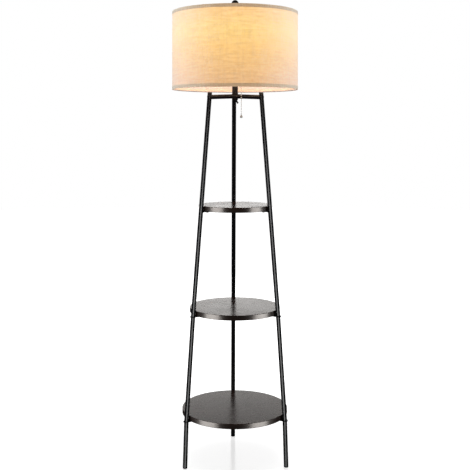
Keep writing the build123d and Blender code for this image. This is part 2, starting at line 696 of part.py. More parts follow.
def spider():
    """Top ring with three cranked spokes and the flat hub that sits on the harp."""
    ring_z = SHADE_TOP_Z - TRIM_T - RING_WIRE_D / 2
    hub_z = SPIDER_HUB_Z + SPIDER_HUB_T / 2
    body = ring(ring_z)
    bend_x = RING_R - SPOKE_BEND_INSET
    path = FilletPolyline(
        (SPOKE_ROOT_R, 0, hub_z),
        (bend_x - SPOKE_BEND_INSET, 0, hub_z),
        (bend_x, 0, ring_z),
        (RING_R, 0, ring_z),
        radius=SPOKE_BEND_R,
    )
    section = Plane(origin=(SPOKE_ROOT_R, 0, hub_z), z_dir=(1, 0, 0)) * Circle(SPOKE_D / 2)
    spoke = sweep(section, path)
    for bearing in SPIDER_BEARINGS:
        body += at_bearing(spoke, bearing)
    body = body + disc(SPIDER_HUB_D, SPIDER_HUB_Z, SPIDER_HUB_Z + SPIDER_HUB_T)
    clear_r = FINIAL_BASE_D / 2 + SPOKE_D / 2
    keep_clear = disc(2 * clear_r, SPIDER_HUB_Z + SPIDER_HUB_T, SHADE_TOP_Z)
    keep_clear += disc(2 * clear_r, HARP_TOP_Z - STUD_BLOCK_H, SPIDER_HUB_Z)
    return body - keep_clear - disc(FINIAL_THREAD_D + 10 * RUNNING_CLEARANCE, SPIDER_HUB_Z, SHADE_TOP_Z)


def finial():
    """Turned knob: a flared base, a slim neck and a ball, tapped to fit the harp's screw."""
    base_r = FINIAL_BASE_D / 2
    neck_r = FINIAL_NECK_D / 2
    ball_r = FINIAL_BALL_D / 2
    ball_z = FINIAL_Z + FINIAL_H - ball_r
    stem = turned(
        (0, FINIAL_Z),
        (base_r, FINIAL_Z),
        (base_r, FINIAL_Z + FINIAL_RIM_H),
        (neck_r + base_r / 4, FINIAL_Z + FINIAL_FLARE_H),
        (neck_r, FINIAL_Z + FINIAL_NECK_Z),
        (neck_r, ball_z - FINIAL_BALL_SINK),
        (0, ball_z),
    )
    knob = stem + Pos(0, 0, ball_z) * Sphere(ball_r)
    return knob - disc(
        FINIAL_THREAD_D + 2 * RUNNING_CLEARANCE, FINIAL_Z, HARP_TOP_Z + FINIAL_THREAD_H + SEAT_CLEARANCE
    )


# ---------------------------------------------------------------- the whole lamp
def leg_nodes():
    """What each leg is made of, by node name."""
    nodes = {}
    for name, bearing in LEG_BEARINGS.items():
        pieces = {
            "foot_cap": foot_cap(),
            "lower_leg": leg_tube(FOOT_CAP_T, LOW_TAB_Z),
            "low_tab": sandwiched_tab(LOW_SHELF_Z),
            "middle_leg": leg_tube(LOW_SHELF_Z, MID_TAB_Z),
            "mid_tab": sandwiched_tab(MID_SHELF_Z),
            "upper_leg": upper_leg_tube(),
            "arm": arm(),
        }
        for piece, shape in pieces.items():
            nodes[f"{piece}_{name}"] = at_bearing(shape, bearing)
    return nodes


def on_each_leg(*shapes):
    return [at_bearing(shape, bearing) for bearing in LEG_BEARINGS.values() for shape in shapes]


def fastener_nodes():
    """Small pieces that repeat on every leg share a node."""
    return {
        "leg_top_plugs": on_each_leg(top_plug()),
        "top_shelf_lugs": on_each_leg(welded_lug()),
        "leg_inserts": on_each_leg(*joint_inserts(LOW_SHELF_Z), *joint_inserts(MID_SHELF_Z)),
        "leg_studs": on_each_leg(
            joint_bar(LOW_SHELF_Z, STUD_D, STUD_REACH), joint_bar(MID_SHELF_Z, STUD_D, STUD_REACH)
        ),
        "shelf_screws": on_each_leg(
            shelf_screw(LOW_SHELF_Z), shelf_screw(MID_SHELF_Z), shelf_screw(TOP_SHELF_Z)
        ),
        "arm_plugs": on_each_leg(arm_plug()),
        "arm_screws": on_each_leg(arm_screw()),
    }


def stand_nodes():
    outlet_hole = OUTLET_STEM_D + 2 * RUNNING_CLEARANCE
    return {
        "low_shelf": shelf(LOW_SHELF_Z),
        "middle_shelf": shelf(MID_SHELF_Z),
        "top_shelf": shelf(TOP_SHELF_Z),
        "hub_tube": hub_tube(),
        "hub_bottom_cap": hub_cap(HUB_BOTTOM_Z, 1, outlet_hole, OUTLET_OFFSET),
        "hub_top_cap": hub_cap(HUB_TOP_Z, -1, NIPPLE_D + 2 * RUNNING_CLEARANCE),
        "cord_outlet": cord_outlet(),
    }


def holder_nodes():
    return {
        "nipple": nipple(),
        "lock_nut": lock_nut(),
        "holder_cap": holder_cap(),
        "holder_shell": holder_shell(),
        "switch_body": switch_body(),
        "screw_shell": screw_shell(),
        "centre_contact": centre_contact(),
        "chain_guide": chain_guide(),
        "chain_top": chain_top(),
        "chain_swivel": chain_swivel(),
        "hanging_chain": hanging_chain(),
        "chain_pull": chain_pull(),
        "bulb_base": bulb_base(),
        "bulb_glass": bulb_glass(),
    }


def shade_nodes():
    fabric_low = SHADE_BOTTOM_Z + TRIM_T
    fabric_high = SHADE_TOP_Z - TRIM_T
    return {
        "harp_saddle": harp_saddle(),
        "harp_wire": harp_wire(),
        "harp_ferrules": harp_ferrules(),
        "harp_stud": harp_stud(),
        "shade_fabric": drum(FABRIC_R, FABRIC_T, fabric_low, fabric_high),
        "shade_liner": drum(LINER_R, LINER_T, fabric_low, fabric_high),
        "top_trim": rim_trim(SHADE_TOP_Z, -1),
        "bottom_trim": rim_trim(SHADE_BOTTOM_Z, 1),
        "spider": spider(),
        "bottom_ring": ring(SHADE_BOTTOM_Z + TRIM_T + RING_WIRE_D / 2),
        "finial": finial(),
    }


def main():
    os.makedirs("parts", exist_ok=True)
    nodes = {**leg_nodes(), **fastener_nodes(), **stand_nodes(), **holder_nodes(), **shade_nodes()}
    for name, shape in nodes.items():
        pieces = shape if isinstance(shape, list) else [shape]
        solids = [solid for piece in pieces for solid in piece.solids()]
        whole = solids[0] if len(solids) == 1 else Compound(children=solids)
        export_step(whole, f"parts/{name}.step")


main()
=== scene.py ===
import math

import bpy
from bpy.props import FloatProperty, FloatVectorProperty, IntProperty, PointerProperty
from mathutils import Matrix, Vector


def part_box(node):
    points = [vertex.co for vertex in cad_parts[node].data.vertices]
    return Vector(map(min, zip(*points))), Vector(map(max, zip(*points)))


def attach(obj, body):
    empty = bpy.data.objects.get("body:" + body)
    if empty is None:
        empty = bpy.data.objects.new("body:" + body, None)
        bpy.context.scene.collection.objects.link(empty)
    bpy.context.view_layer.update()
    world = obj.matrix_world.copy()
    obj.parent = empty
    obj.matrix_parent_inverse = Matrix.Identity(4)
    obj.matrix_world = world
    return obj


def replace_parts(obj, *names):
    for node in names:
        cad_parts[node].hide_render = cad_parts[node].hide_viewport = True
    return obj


# Finish, cloth and studio of a shelf floor lamp. Everything is in metres; the lamp's axis is Z.

bl_info = {
    "name": "Shelf floor lamp",
    "version": (1, 0, 0),
    "blender": (4, 5, 0),
    "location": "View3D > Sidebar > Lamp",
    "description": "Dresses the shelf floor lamp and sets its studio",
    "category": "Object",
}

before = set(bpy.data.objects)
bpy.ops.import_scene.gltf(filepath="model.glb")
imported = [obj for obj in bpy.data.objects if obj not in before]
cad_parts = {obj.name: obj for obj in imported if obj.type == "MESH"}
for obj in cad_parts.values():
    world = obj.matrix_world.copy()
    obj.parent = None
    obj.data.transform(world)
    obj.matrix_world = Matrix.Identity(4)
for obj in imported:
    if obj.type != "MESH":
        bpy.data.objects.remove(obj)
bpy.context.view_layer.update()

MM = 0.001
BEARINGS = {"back": 90.0, "left": 210.0, "right": 330.0}
SHELVES = ("low_shelf", "middle_shelf", "top_shelf")
UP = Vector((0, 0, 1))

# Screws made here: the head's radius and height, then the shank's radius and length, in millimetres.
SHELF_SCREW = (4, 2.2), (2, 14)
ARM_SCREW = (4.5, 0.7), (2.5, 20)
CROSS_BAR, CROSS_BAR_Z = (4.4 * MM, 0.9 * MM, 3.0 * MM), 2.4 * MM  # each bar that cuts the cross recess
SOCKET_RADIUS, SOCKET_DEPTH, SOCKET_Z = 1.7 * MM, 4 * MM, 0.4 * MM  # the bar that cuts the hex socket

# Sizes of the CAD's own pieces that their boxes don't give.
CAD_SHELF_HEAD, CAD_ARM_HEAD = 2.2 * MM, 1.2 * MM  # height of its screws' heads
LINING = 0.8 * MM  # thickness of shade_liner
SPOKE_ROOT = 11 * MM  # from the axis to the spokes' welds on the spider's hub

SENSOR = 36  # width of the camera's sensor, in millimetres
FILL, GLOSS_FILL = 0.22, 0.035  # how bright the white surround is to matt surfaces, and in their gloss


def on_legs(*stems):
    """The node names of pieces that every leg has."""
    return [f"{stem}_{leg}" for stem in stems for leg in BEARINGS]


# ---- what a user would change
class LampFinishes(bpy.types.PropertyGroup):
    """Colours of the lamp's surfaces."""

    steel: FloatVectorProperty(
        name="Powder coat", description="Black coat of the tubes", subtype="COLOR",
        default=(0.0075, 0.0075, 0.008),
    )
    board: FloatVectorProperty(
        name="Board", description="Darker tone of the shelves' grain", subtype="COLOR",
        default=(0.016, 0.006, 0.0035),
    )
    board_streak: FloatVectorProperty(
        name="Board streak", description="Lighter tone of the grain", subtype="COLOR",
        default=(0.042, 0.019, 0.012),
    )
    linen: FloatVectorProperty(
        name="Linen", description="Unlit colour of the shade's cloth", subtype="COLOR",
        default=(0.66, 0.65, 0.6),
    )
    glow_top: FloatVectorProperty(
        name="Glow, top", description="Lamplight through the cloth at the top", subtype="COLOR",
        default=(0.8, 0.43, 0.135),
    )
    glow_bulb: FloatVectorProperty(
        name="Glow, bulb", description="Lamplight through the cloth level with the bulb", subtype="COLOR",
        default=(0.81, 0.49, 0.118),
    )
    glow_middle: FloatVectorProperty(
        name="Glow, middle", description="Lamplight through the cloth half way up", subtype="COLOR",
        default=(0.77, 0.42, 0.088),
    )
    glow_bottom: FloatVectorProperty(
        name="Glow, bottom", description="Lamplight through the cloth at the lower hem", subtype="COLOR",
        default=(0.6, 0.3, 0.1),
    )
    brass: FloatVectorProperty(
        name="Brass plate", description="Lamp holder", subtype="COLOR", default=(0.55, 0.4, 0.18)
    )
    nickel: FloatVectorProperty(
        name="Nickel", description="Chain, harp and its saddle", subtype="COLOR", default=(0.66, 0.63, 0.58)
    )


class LampCloth(bpy.types.PropertyGroup):
    """Sizes of the shade's cloth and hems."""

    thickness: FloatProperty(
        name="Cloth thickness", description="Linen on the lining", unit="LENGTH", default=0.35 * MM
    )
    overlap: FloatProperty(
        name="Seam overlap", description="How far the cloth laps over its own end", unit="LENGTH",
        default=14 * MM,
    )
    seam_bearing: FloatProperty(
        name="Seam bearing", description="Where the seam is, behind the lamp", subtype="ANGLE",
        default=math.radians(118),
    )
    thread: FloatProperty(
        name="Thread pitch", description="From one thread of the weave to the next", unit="LENGTH",
        default=0.9 * MM,
    )
    steps: IntProperty(name="Steps round", description="Faces round the drum", default=240, min=48)


class LampStudio(bpy.types.PropertyGroup):
    """Camera and light."""

    distance: FloatProperty(
        name="Distance", description="Camera to the lamp's axis", unit="LENGTH", default=2.738
    )
    height: FloatProperty(name="Height", description="Camera above the floor", unit="LENGTH", default=1.052)
    bearing: FloatProperty(
        name="Bearing", description="Camera round the lamp, from straight in front", subtype="ANGLE",
        default=math.radians(1.9),
    )
    roll: FloatProperty(
        name="Roll", description="How far the camera leans about its own view", subtype="ANGLE",
        default=math.radians(-0.05),
    )
    lens: FloatProperty(name="Lens", description="Focal length in millimetres", default=64.78)
    rise: FloatProperty(name="Rise", description="Vertical lens shift, in frame widths", default=-0.2206)
    side_light: FloatProperty(name="Side softboxes", description="Power of each, in watts", default=30.0)
    side_colour: FloatVectorProperty(
        name="Side colour", description="Daylight of the side softboxes", subtype="COLOR",
        default=(0.48, 0.67, 0.97),
    )
    overhead: FloatProperty(name="Overhead softbox", description="Power, in watts", default=26.0)
    strips: FloatProperty(
        name="Side strips", description="Brightness of the strips in the shelves' edges", default=12.0
    )
    front: FloatProperty(
        name="Front screen", description="Brightness of the screen that the front legs mirror", default=6.8
    )
    # The floor's own glow near the lamp; farther out it is 0.5 brighter, a painted shade under the lamp.
    floor: FloatProperty(name="Floor", description="Brightness that the floor adds to itself", default=0.67)
    wall: FloatProperty(
        name="Back wall", description="Brightness of the wall that the shelves mirror", default=2.6
    )
    wall_colour: FloatVectorProperty(
        name="Wall colour", description="Warm white of that wall", subtype="COLOR",
        default=(1.0, 0.985, 0.965),
    )


# ---- node trees
class Wiring:
    """Places and wires the nodes of one tree."""

    def __init__(self, tree):
        self.tree = tree

    def add(self, kind, *values, **settings):
        """A new node. The values go to its first inputs; None leaves one as it is."""
        node = self.tree.nodes.new(kind)
        for name, value in settings.items():
            setattr(node, name, value)
        for socket, value in zip(node.inputs, values):
            self.feed(socket, value)
        return node

    def feed(self, socket, value):
        """Wires an output into a socket, or sets the socket's own value."""
        if isinstance(value, bpy.types.NodeSocket):
            self.tree.links.new(value, socket)
        elif value is not None:
            socket.default_value = value

    def math(self, operation, *values):
        return self.add("ShaderNodeMath", *values, operation=operation).outputs[0]

    def plus(self, first, second):
        return self.math("ADD", first, second)

    def times(self, first, second):
        return self.math("MULTIPLY", first, second)

    def coordinates(self):
        return self.add("ShaderNodeTexCoord").outputs["Object"]

    def parts(self, vector):
        """X, Y and Z of a vector."""
        return self.add("ShaderNodeSeparateXYZ", vector).outputs

    def vector(self, *values):
        return self.add("ShaderNodeCombineXYZ", *values).outputs[0]

    def noise(self, vector, scale, detail=2.0, roughness=0.5):
        return self.add("ShaderNodeTexNoise", vector, None, scale, detail, roughness).outputs["Fac"]

    def streaks(self, vector, scale, location=(0, 0, 0), detail=2.0, roughness=0.5):
        """Noise drawn out along the axes by their own scales."""
        stretched = self.add("ShaderNodeMapping", vector, location, None, scale).outputs[0]
        return self.noise(stretched, 1.0, detail, roughness)

    def remap(self, *values):
        """A value, and the ends of its range, which become 0 and 1 or the last two values."""
        return self.add("ShaderNodeMapRange", *values, interpolation_type="SMOOTHSTEP").outputs["Result"]

    def between(self, value, new_low, new_high):
        """A share from 0 to 1 as a value between two others."""
        return self.remap(value, 0.0, 1.0, new_low, new_high)

    def blend(self, factor, first, second, kind="RGBA", mode="MIX"):
        node = self.add("ShaderNodeMix", data_type=kind)
        at, out = {"FLOAT": (2, 0), "VECTOR": (4, 1), "RGBA": (6, 2)}[kind]
        if kind == "RGBA":
            node.blend_type = mode
        for socket, value in zip((0, at, at + 1), (factor, first, second)):
            self.feed(node.inputs[socket], opaque(value))
        return node.outputs[out]

    def ramp(self, factor, *stops):
        node = self.add("ShaderNodeValToRGB")
        elements = node.color_ramp.elements
        while len(elements) < len(stops):
            elements.new(0.5)
        for element, (position, colour) in zip(elements, stops):
            element.position = position
            element.color = opaque(colour)
        self.feed(node.inputs["Fac"], factor)
        return node.outputs["Color"]

    def bump(self, height, strength, distance):
        node = self.add("ShaderNodeBump")
        node.inputs["Strength"].default_value = strength
        node.inputs["Distance"].default_value = distance
        self.feed(node.inputs["Height"], height)
        return node.outputs["Normal"]

    def use(self, maker, **inputs):
        """Places the shared group that a function makes."""
        node = self.add("ShaderNodeGroup", node_tree=shared(maker))
        for socket, value in inputs.items():
            self.feed(node.inputs[socket], value)
        return node.outputs


FLOAT, VECTOR = "NodeSocketFloat", "NodeSocketVector"


def opaque(value):
    """A colour of three numbers with full alpha; a socket or a number as it is."""
    return value if isinstance(value, (bpy.types.NodeSocket, float, int)) else (*value, 1.0)


def node_group(name, numbers, outputs, kind=FLOAT):
    """A shader group of a vector and numbers; gives the group, its wiring and the ends inside it."""
    group = bpy.data.node_groups.new(name, "ShaderNodeTree")
    for side, sort, sockets in (
        ("INPUT", VECTOR, ["Vector"]), ("INPUT", FLOAT, numbers), ("OUTPUT", kind, outputs)
    ):
        for socket in sockets:
            group.interface.new_socket(name=socket, in_out=side, socket_type=sort)
    w = Wiring(group)
    return group, w, w.add("NodeGroupInput").outputs, w.add("NodeGroupOutput").inputs


def smudge_group():
    """Slow unevenness of a finish, and the fine dust that settles on it."""
    group, w, start, end = node_group("smudge", ["Size"], ["Smudge", "Dust"])
    slow = w.noise(start["Vector"], start["Size"], detail=4, roughness=0.6)
    w.feed(end["Smudge"], w.remap(slow, 0.32, 0.68))
    fine = w.noise(start["Vector"], w.times(start["Size"], 60))
    w.feed(end["Dust"], w.times(w.remap(fine, 0.56, 0.78), w.remap(slow, 0.4, 0.7)))
    return group


def peel_group():
    """Orange peel and pin grain of a sprayed or powder coat."""
    group, w, start, end = node_group("coat_peel", ["Grain"], ["Height"])
    soft = w.noise(start["Vector"], start["Grain"], detail=1)
    sharp = w.noise(start["Vector"], w.times(start["Grain"], 3.5), roughness=0.7)
    w.feed(end["Height"], w.plus(soft, w.times(sharp, 0.35)))
    return group


def drum_group():
    """Unrolls a drum about the lamp's axis: length round it, height and depth, in metres."""
    group, w, start, end = node_group("unrolled", ["Radius", "Turn"], ["Vector"], kind=VECTOR)
    turned = w.add("ShaderNodeVectorRotate", start["Vector"], rotation_type="Z_AXIS")
    w.feed(turned.inputs["Angle"], start["Turn"])
    parts = w.parts(turned.outputs[0])
    angle = w.math("ARCTAN2", parts["Y"], parts["X"])
    squares = w.plus(w.math("POWER", parts["X"], 2), w.math("POWER", parts["Y"], 2))
    around, depth = w.times(angle, start["Radius"]), w.math("SQRT", squares)
    w.feed(end["Vector"], w.vector(around, parts["Z"], depth))
    return group


def weave_group():
    """Plain linen weave over X and Y of its vector, with slubs along both sets of threads."""
    outputs = ["Height", "Thick", "Gap", "Mottle"]
    group, w, start, end = node_group("linen_weave", ["Pitch"], outputs)
    parts = w.parts(start["Vector"])
    wander = w.times(w.math("SUBTRACT", w.noise(start["Vector"], 45.0), 0.5), 2.2)
    across = w.plus(w.math("DIVIDE", parts["X"], start["Pitch"]), wander)
    along = w.plus(w.math("DIVIDE", parts["Y"], start["Pitch"]), wander)
    turns = (w.math("SINE", w.times(place, math.pi)) for place in (across, along))
    warp, weft = (w.math("ABSOLUTE", wave) for wave in turns)
    cell = w.plus(w.math("FLOOR", across), w.math("FLOOR", along))
    over = w.math("PINGPONG", cell, 1.0)
    warp_slub = w.remap(w.streaks(start["Vector"], (420, 16, 1), detail=3), 0.35, 0.7)
    weft_slub = w.remap(w.streaks(start["Vector"], (14, 460, 1), (7, 3, 0), detail=3), 0.35, 0.7)
    thick = w.blend(over, weft_slub, warp_slub, kind="FLOAT")
    thread = w.blend(over, weft, warp, kind="FLOAT")
    w.feed(end["Height"], w.times(thread, w.plus(w.times(thick, 0.6), 0.5)))
    w.feed(end["Thick"], w.times(w.plus(warp_slub, weft_slub), 0.5))
    w.feed(end["Gap"], w.math("SUBTRACT", 1.0, w.math("MAXIMUM", warp, weft)))
    cloud = w.streaks(start["Vector"], (85, 150, 1), (3, 5, 0), roughness=0.6)
    weft_streak = w.streaks(start["Vector"], (24, 250, 1), (9, 1, 0))
    warp_streak = w.streaks(start["Vector"], (210, 22, 1), (2, 8, 0))
    streaks = w.plus(w.times(weft_streak, 0.48), w.times(warp_streak, 0.16))
    w.feed(end["Mottle"], w.remap(w.plus(w.times(cloud, 0.36), streaks), 0.38, 0.62))
    return group


def grain_group():
    """Straight fine wood grain along X: broad bands, streaks and short pores."""
    group, w, start, end = node_group("wood_grain", [], ["Tone", "Pores"])
    sway = w.streaks(start["Vector"], (3, 9, 3))
    offset = w.vector(0.0, w.times(w.math("SUBTRACT", sway, 0.5), 0.03))
    flow = w.add("ShaderNodeVectorMath", start["Vector"], offset, operation="ADD").outputs[0]
    bands = w.streaks(flow, (1.6, 38, 38), detail=3)
    streaks = w.streaks(flow, (6, 420, 420), detail=4, roughness=0.65)
    tone = w.plus(w.times(bands, 0.55), w.times(streaks, 0.45))
    w.feed(end["Tone"], w.remap(tone, 0.36, 0.64))
    w.feed(end["Pores"], w.remap(w.streaks(flow, (60, 1900, 1900), detail=1), 0.6, 0.72))
    return group


def hairline_group():
    """Fine level lines, as drawing and turning leave them on metal."""
    group, w, start, end = node_group("hairlines", ["Fineness"], ["Lines"])
    coarse = w.math("DIVIDE", start["Fineness"], 40)
    scale = w.vector(coarse, coarse, start["Fineness"])
    stretched = w.add("ShaderNodeVectorMath", start["Vector"], scale, operation="MULTIPLY")
    w.feed(end["Lines"], w.noise(stretched.outputs[0], 1.0))
    return group


groups = {}


def shared(maker):
    """The group that a function makes, made the first time that a finish asks for it."""
    if maker not in groups:
        groups[maker] = maker()
    return groups[maker]


class Finish(Wiring):
    """A new material with one Principled shader, and its wiring."""

    def __init__(self, name):
        self.material = bpy.data.materials.new(name)
        self.material.use_nodes = True
        super().__init__(self.material.node_tree)
        self.shader = self.tree.nodes["Principled BSDF"]

    def surface(self, socket, value):
        self.feed(self.shader.inputs[socket], value)


# ---- finishes
def smudged(name, size, colour, other, rough, share=1.0, mask="Smudge"):
    """A finish whose colour and roughness follow a smudge, and its place."""
    w = Finish(name)
    place = w.coordinates()
    smudge = w.use(smudge_group, Vector=place, Size=size)
    w.surface("Base Color", w.blend(w.times(smudge[mask], share), colour, other))
    w.surface("Roughness", w.between(smudge["Smudge"], *rough))
    return w, place


def coated(name, colour, rough, grain, peel=0.12):
    """Satin powder coat or paint with orange peel and a little settled dust."""
    lighter = tuple(2.4 * c + 0.002 for c in colour)
    spread = rough - 0.04, rough + 0.05
    w, place = smudged(name, 9.0, colour, lighter, spread, share=0.5, mask="Dust")
    w.surface("Specular IOR Level", 0.38)
    height = w.use(peel_group, Vector=place, Grain=grain)["Height"]
    w.surface("Normal", w.bump(height, peel, 0.3 * MM))
    return w.material


def moulded(name, colour, rough):
    """Moulded plastic or rubber with a fine spark-eroded grain."""
    paler = tuple(1.8 * c + 0.006 for c in colour)
    spread = rough - 0.06, rough + 0.06
    w, place = smudged(name, 40.0, colour, paler, spread, share=0.4)
    height = w.use(peel_group, Vector=place, Grain=2400.0)["Height"]
    w.surface("Normal", w.bump(height, 0.25, 0.15 * MM))
    return w.material


def plated(name, colour, rough, lines=0.1, tarnish=0.35):
    """Plated or bare metal with drawing lines and a breath of tarnish."""
    darker = tuple(0.72 * c for c in colour)
    spread = rough, rough + 0.1
    w, place = smudged(name, 55.0, colour, darker, spread, share=tarnish)
    w.surface("Metallic", 1.0)
    drawn = w.use(hairline_group, Vector=place, Fineness=5200.0)["Lines"]
    w.surface("Normal", w.bump(drawn, lines, 0.08 * MM))
    return w.material


def espresso_board(finishes):
    """Dark laminate: straight grain on the faces, the banding's own grain running round the edge."""
    w = Finish("espresso_board")
    place = w.coordinates()
    rolled = w.use(drum_group, Vector=place, Radius=0.15)["Vector"]
    normal = w.parts(w.add("ShaderNodeNewGeometry").outputs["Normal"])
    on_face = w.math("GREATER_THAN", w.math("ABSOLUTE", normal["Z"]), 0.6)
    grain = w.use(grain_group, Vector=w.blend(on_face, rolled, place, kind="VECTOR"))
    tone = w.blend(grain["Tone"], finishes.board, finishes.board_streak)
    pored = w.blend(w.times(grain["Pores"], 0.55), tone, (0.006, 0.004, 0.003))
    w.surface("Base Color", pored)
    w.surface("Specular Tint", (1.0, 0.95, 0.9, 1.0))
    smudge = w.use(smudge_group, Vector=place, Size=14.0)
    rough = w.between(smudge["Smudge"], 0.25, 0.28)
    w.surface("Roughness", w.plus(rough, w.times(grain["Pores"], 0.04)))
    relief = w.math("SUBTRACT", w.times(grain["Tone"], 0.3), grain["Pores"])
    w.surface("Normal", w.bump(relief, 0.12, 0.01 * MM))
    return w.material


def height_share(w, place, node):
    """How far up a node a place is, from 0 at its foot to 1 at its top."""
    low, high = (corner.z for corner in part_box(node))
    return w.math("DIVIDE", w.math("SUBTRACT", w.parts(place)["Z"], low), high - low)


def linen_round(w, node, cloth, linen, shade):
    """Colours a finish with the weave, unrolled about a node; gives the unrolled place and the weave."""
    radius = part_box(node)[1].x
    flat = w.use(drum_group, Vector=w.coordinates(), Radius=radius, Turn=-cloth.seam_bearing)["Vector"]
    weave = w.use(weave_group, Vector=flat, Pitch=cloth.thread)
    shadowed = tuple(shade * c for c in linen)
    w.surface("Base Color", w.blend(w.remap(weave["Thick"], 0.1, 0.9), shadowed, linen))
    w.surface("Roughness", w.between(weave["Height"], 0.95, 0.8))
    w.surface("Sheen Weight", 0.4)
    w.surface("Emission Strength", 1.0)
    return flat, weave


def shade_linen(finishes, cloth):
    """Fine cream linen; the lamplight that comes through it changes with height."""
    w = Finish("shade_linen")
    weave = linen_round(w, "shade_fabric", cloth, finishes.linen, 0.78)[1]
    share = height_share(w, w.coordinates(), "shade_fabric")
    stops = (0.0, finishes.glow_bottom), (0.5, finishes.glow_middle), (0.7, finishes.glow_bulb)
    light = w.ramp(share, *stops, (1.0, finishes.glow_top))
    veil = w.math("SUBTRACT", 1.12, w.times(weave["Thick"], 0.3))
    sparkle = w.plus(veil, w.times(weave["Gap"], 0.5))
    through = w.blend(weave["Mottle"], (1.09, 1.13, 1.25), (0.88, 0.87, 0.71))
    tinted = w.blend(1.0, light, through, mode="MULTIPLY")
    dimmed = w.add("ShaderNodeVectorMath", tinted, None, None, sparkle, operation="SCALE")
    w.surface("Emission Color", dimmed.outputs[0])
    w.surface("Sheen Roughness", 0.5)
    w.surface("Normal", w.bump(weave["Height"], 0.5, 0.35 * MM))
    return w.material


def shade_hem(cloth):
    """The same linen in a folded strip, over the rings, so that less light comes through; its inner fold
    glows with painted bulb light.
    """
    w = Finish("shade_hem")
    flat, weave = linen_round(w, "top_trim", cloth, (0.9, 0.82, 0.58), 0.75)
    through = w.blend(weave["Mottle"], (0.32, 0.168, 0.082), (0.235, 0.122, 0.056))
    fold = (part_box("top_trim")[1].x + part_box("shade_liner")[1].x) / 2 - 1 * MM
    # Painted light: the inner half of the fold, which faces the bulb, glows warm as if lit by it.
    within = w.math("LESS_THAN", w.parts(flat)["Z"], fold)
    w.surface("Emission Color", w.blend(within, through, (0.64, 0.34, 0.235)))
    w.surface("Sheen Roughness", 0.4)
    w.surface("Normal", w.bump(weave["Height"], 0.6, 0.4 * MM))
    return w.material


def shade_lining():
    """Off-white translucent sheet behind the linen; its emission is painted bulb light, brightest level
    with the lamp bulb's filament.
    """
    tones = (0.86, 0.79, 0.72), (0.9, 0.84, 0.78)
    w, place = smudged("shade_lining", 20.0, *tones, (0.5, 0.62))
    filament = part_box("bulb_glass")[1].z - 30 * MM
    away = w.math("ABSOLUTE", w.math("SUBTRACT", w.parts(place)["Z"], filament))
    # Painted light: the bulb's light on the lining, warmer and brighter near the filament's height.
    lit = w.ramp(w.math("DIVIDE", away, 0.14), (0.0, (0.95, 0.6, 0.42)), (1.0, (0.7, 0.4, 0.27)))
    w.surface("Emission Color", lit)
    w.surface("Emission Strength", 0.55)
    return w.material


def frosted_bulb():
    """Frosted glass of the burning lamp bulb."""
    tones = (0.9, 0.87, 0.8), (0.94, 0.92, 0.88)
    w, place = smudged("bulb_glass", 30.0, *tones, (0.3, 0.4))
    share = height_share(w, place, "bulb_glass")
    heat = w.ramp(share, (0.0, (1.0, 0.62, 0.3)), (0.35, (1.0, 0.74, 0.45)), (1.0, (1.0, 0.8, 0.55)))
    w.surface("Emission Color", heat)
    w.surface("Emission Strength", 6.5)
    return w.material


# ---- shared steps
def dress(material, *nodes):
    """Gives CAD nodes a finish."""
    for name in nodes:
        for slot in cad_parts[name].material_slots:
            slot.material = material


def deselect():
    """Leaves edit mode and selects nothing."""
    if bpy.context.mode != "OBJECT":
        bpy.ops.object.mode_set(mode="OBJECT")
    bpy.ops.object.select_all(action="DESELECT")


def pick(piece):
    """Leaves one piece selected and active."""
    deselect()
    piece.select_set(True)
    bpy.context.view_layer.objects.active = piece


def named(name):
    """The object just added, under its own name."""
    made = bpy.context.object
    made.name = made.data.name = name
    return made


def settle(piece):
    """Puts a piece's place, turn and size into its mesh."""
    pick(piece)
    bpy.ops.object.transform_apply(location=True, rotation=True, scale=True)
    return piece


def modified(piece, kind, **settings):
    """Adds a modifier with its settings and applies it."""
    pick(piece)
    modifier = piece.modifiers.new(kind.title(), kind)
    for name, value in settings.items():
        setattr(modifier, name, value)
    bpy.ops.object.modifier_apply(modifier=modifier.name)
    return piece


def smooth(piece, angle=35):
    """Smooth shading, but for edges sharper than an angle in degrees."""
    pick(piece)
    bpy.ops.object.shade_smooth_by_angle(angle=math.radians(angle))


def draw_profile(name, start, moves):
    """One vertex at start, drawn out by a list of moves into an open outline, left in edit mode."""
    deselect()
    bpy.ops.mesh.primitive_plane_add(size=MM, location=start)
    piece = settle(named(name))
    bpy.ops.object.mode_set(mode="EDIT")
    bpy.ops.mesh.select_mode(type="VERT")
    bpy.ops.mesh.select_all(action="SELECT")
    bpy.ops.mesh.merge(type="CENTER")
    for move in moves:
        bpy.ops.mesh.extrude_vertices_move(TRANSFORM_OT_translate={"value": tuple(move)})
    return piece


def spin_all(steps, angle=2 * math.pi, closed=True):
    """Spins the outline in edit mode about the lamp's axis, and closes the seam of a full turn."""
    bpy.ops.mesh.select_all(action="SELECT")
    bpy.ops.mesh.spin(steps=steps, angle=angle, center=(0, 0, 0), axis=(0, 0, 1))
    bpy.ops.mesh.select_all(action="SELECT")
    if closed:
        bpy.ops.mesh.remove_doubles(threshold=0.01 * MM)
    bpy.ops.mesh.normals_make_consistent(inside=False)
    bpy.ops.object.mode_set(mode="OBJECT")


def point_outwards(piece):
    """Turns an open drum's faces away from the axis, so that its thickness goes inwards."""
    faces = piece.data.polygons
    outward = sum(face.normal.dot(Vector((*face.center.xy, 0))) > 0 for face in faces)
    if outward < len(faces) / 2:
        piece.data.flip_normals()


def joined(name, pieces):
    """Several finished pieces as one object."""
    deselect()
    for piece in pieces:
        piece.select_set(True)
    bpy.context.view_layer.objects.active = pieces[0]
    bpy.ops.object.join()
    pieces[0].name = pieces[0].data.name = name
    return pieces[0]


